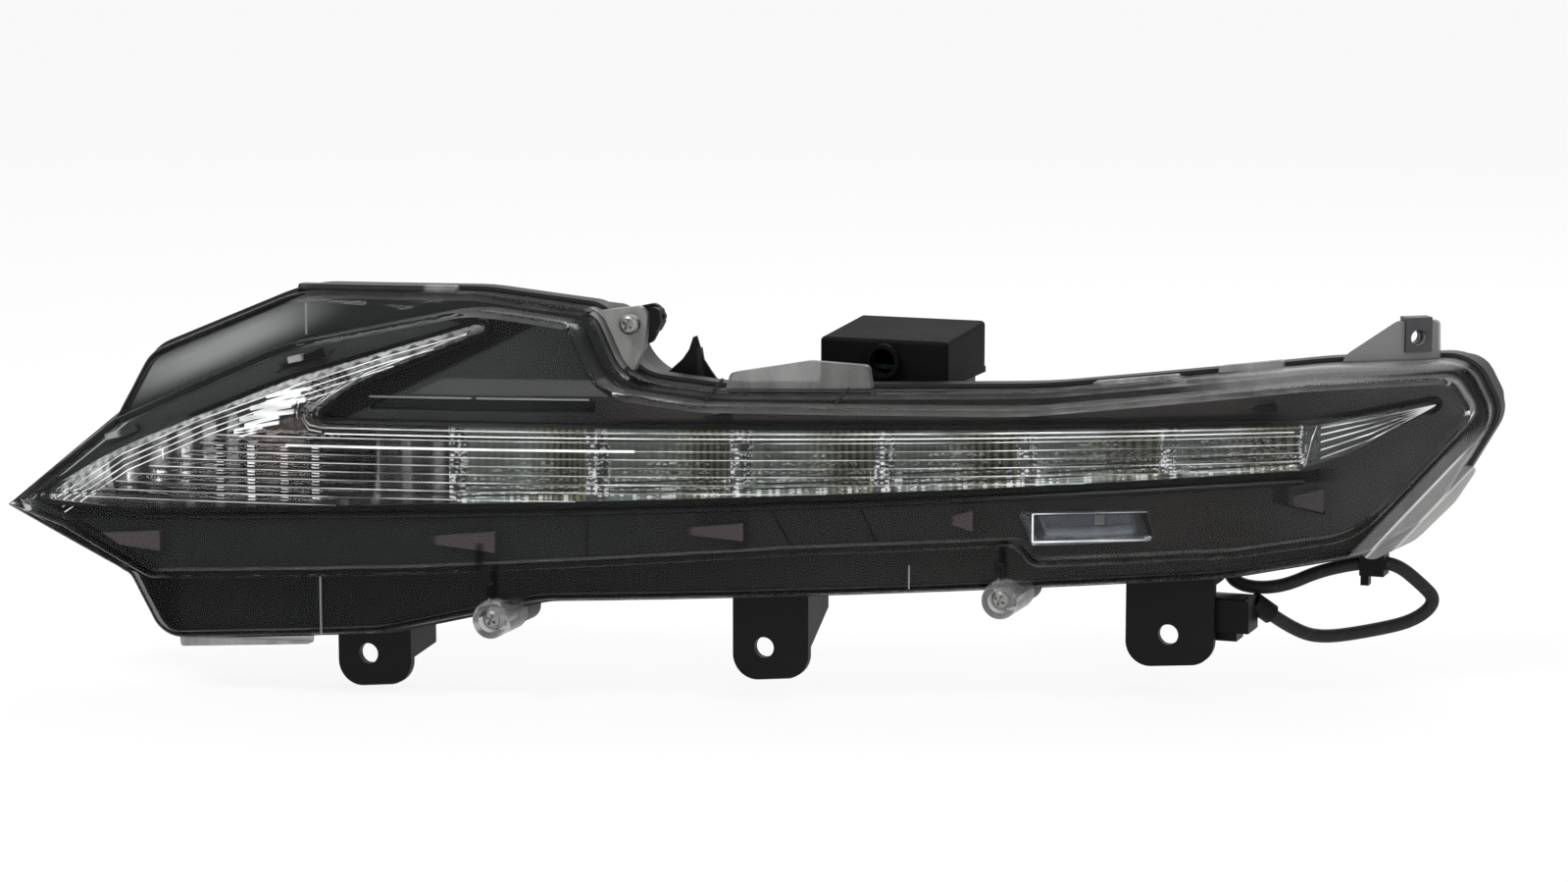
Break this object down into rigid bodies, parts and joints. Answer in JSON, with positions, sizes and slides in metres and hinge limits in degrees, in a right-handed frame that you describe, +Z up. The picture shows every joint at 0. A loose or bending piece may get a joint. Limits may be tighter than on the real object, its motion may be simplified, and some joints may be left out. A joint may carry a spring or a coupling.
{
  "type": "auxiliary driving light",
  "caption": "Long curved car lamp with a clear stepped lens, a fluted light bar with a raised arm, a small corner lamp, bracket plates, a driver box and a short cable",
  "frame": {"origin": "centre of the centre bracket's bolt hole, at the front face of its plate", "axes": "+X along the lamp towards the cable end, -Y the way the lamp shines, +Z up"},
  "size_m": [0.5091, 0.2367, 0.1497],
  "materials": {
    "clear_lens": "clear polycarbonate, polished",
    "housing_plastic": "fine moulded grain",
    "bezel_plastic": "fine moulded grain",
    "bright_coat": "metallised, bright",
    "led_board": "white solder mask",
    "driver_circuit": "green solder mask",
    "led_phosphor": "yellow phosphor",
    "heat_sink_metal": "satin",
    "amber_glass": "amber coated glass",
    "black_plastic": "satin",
    "bracket_plastic": "fine moulded grain",
    "driver_plastic": "satin",
    "seal_rubber": "matte",
    "screw_steel": "zinc plated",
    "spring_steel": "dark phosphate",
    "cable_tape": "wound cloth tape"
  },
  "bodies": {
    "root": {"outer_lens": "clear_lens", "inner_lens": "clear_lens", "end_blade": "clear_lens", "corner_lens": "clear_lens", "rear_housing": "housing_plastic", "front_bezel": "bezel_plastic", "drl_reflector": "bright_coat", "turn_reflector": "bright_coat", "corner_reflector": "bright_coat", "drl_led_board": "led_board", "corner_led_board": "led_board", "driver_board": "driver_circuit", "drl_leds": "led_phosphor", "corner_led": "led_phosphor", "drl_heat_sink": "heat_sink_metal", "turn_bulb": "amber_glass", "bulb_socket": "black_plastic", "harness_connector": "black_plastic", "harness_clip": "black_plastic", "tab_clip": "black_plastic", "breather_cap": "black_plastic", "bracket_left": "bracket_plastic", "bracket_centre": "bracket_plastic", "bracket_right": "bracket_plastic", "driver_case": "driver_plastic", "driver_base": "driver_plastic", "lens_seal": "seal_rubber", "socket_seal": "seal_rubber", "harness_grommet": "seal_rubber", "lens_screws": "screw_steel", "bracket_screws": "screw_steel", "tab_screw": "screw_steel", "corner_nut_clip": "spring_steel", "harness_cable": "cable_tape"}
  },
  "joints": []
}
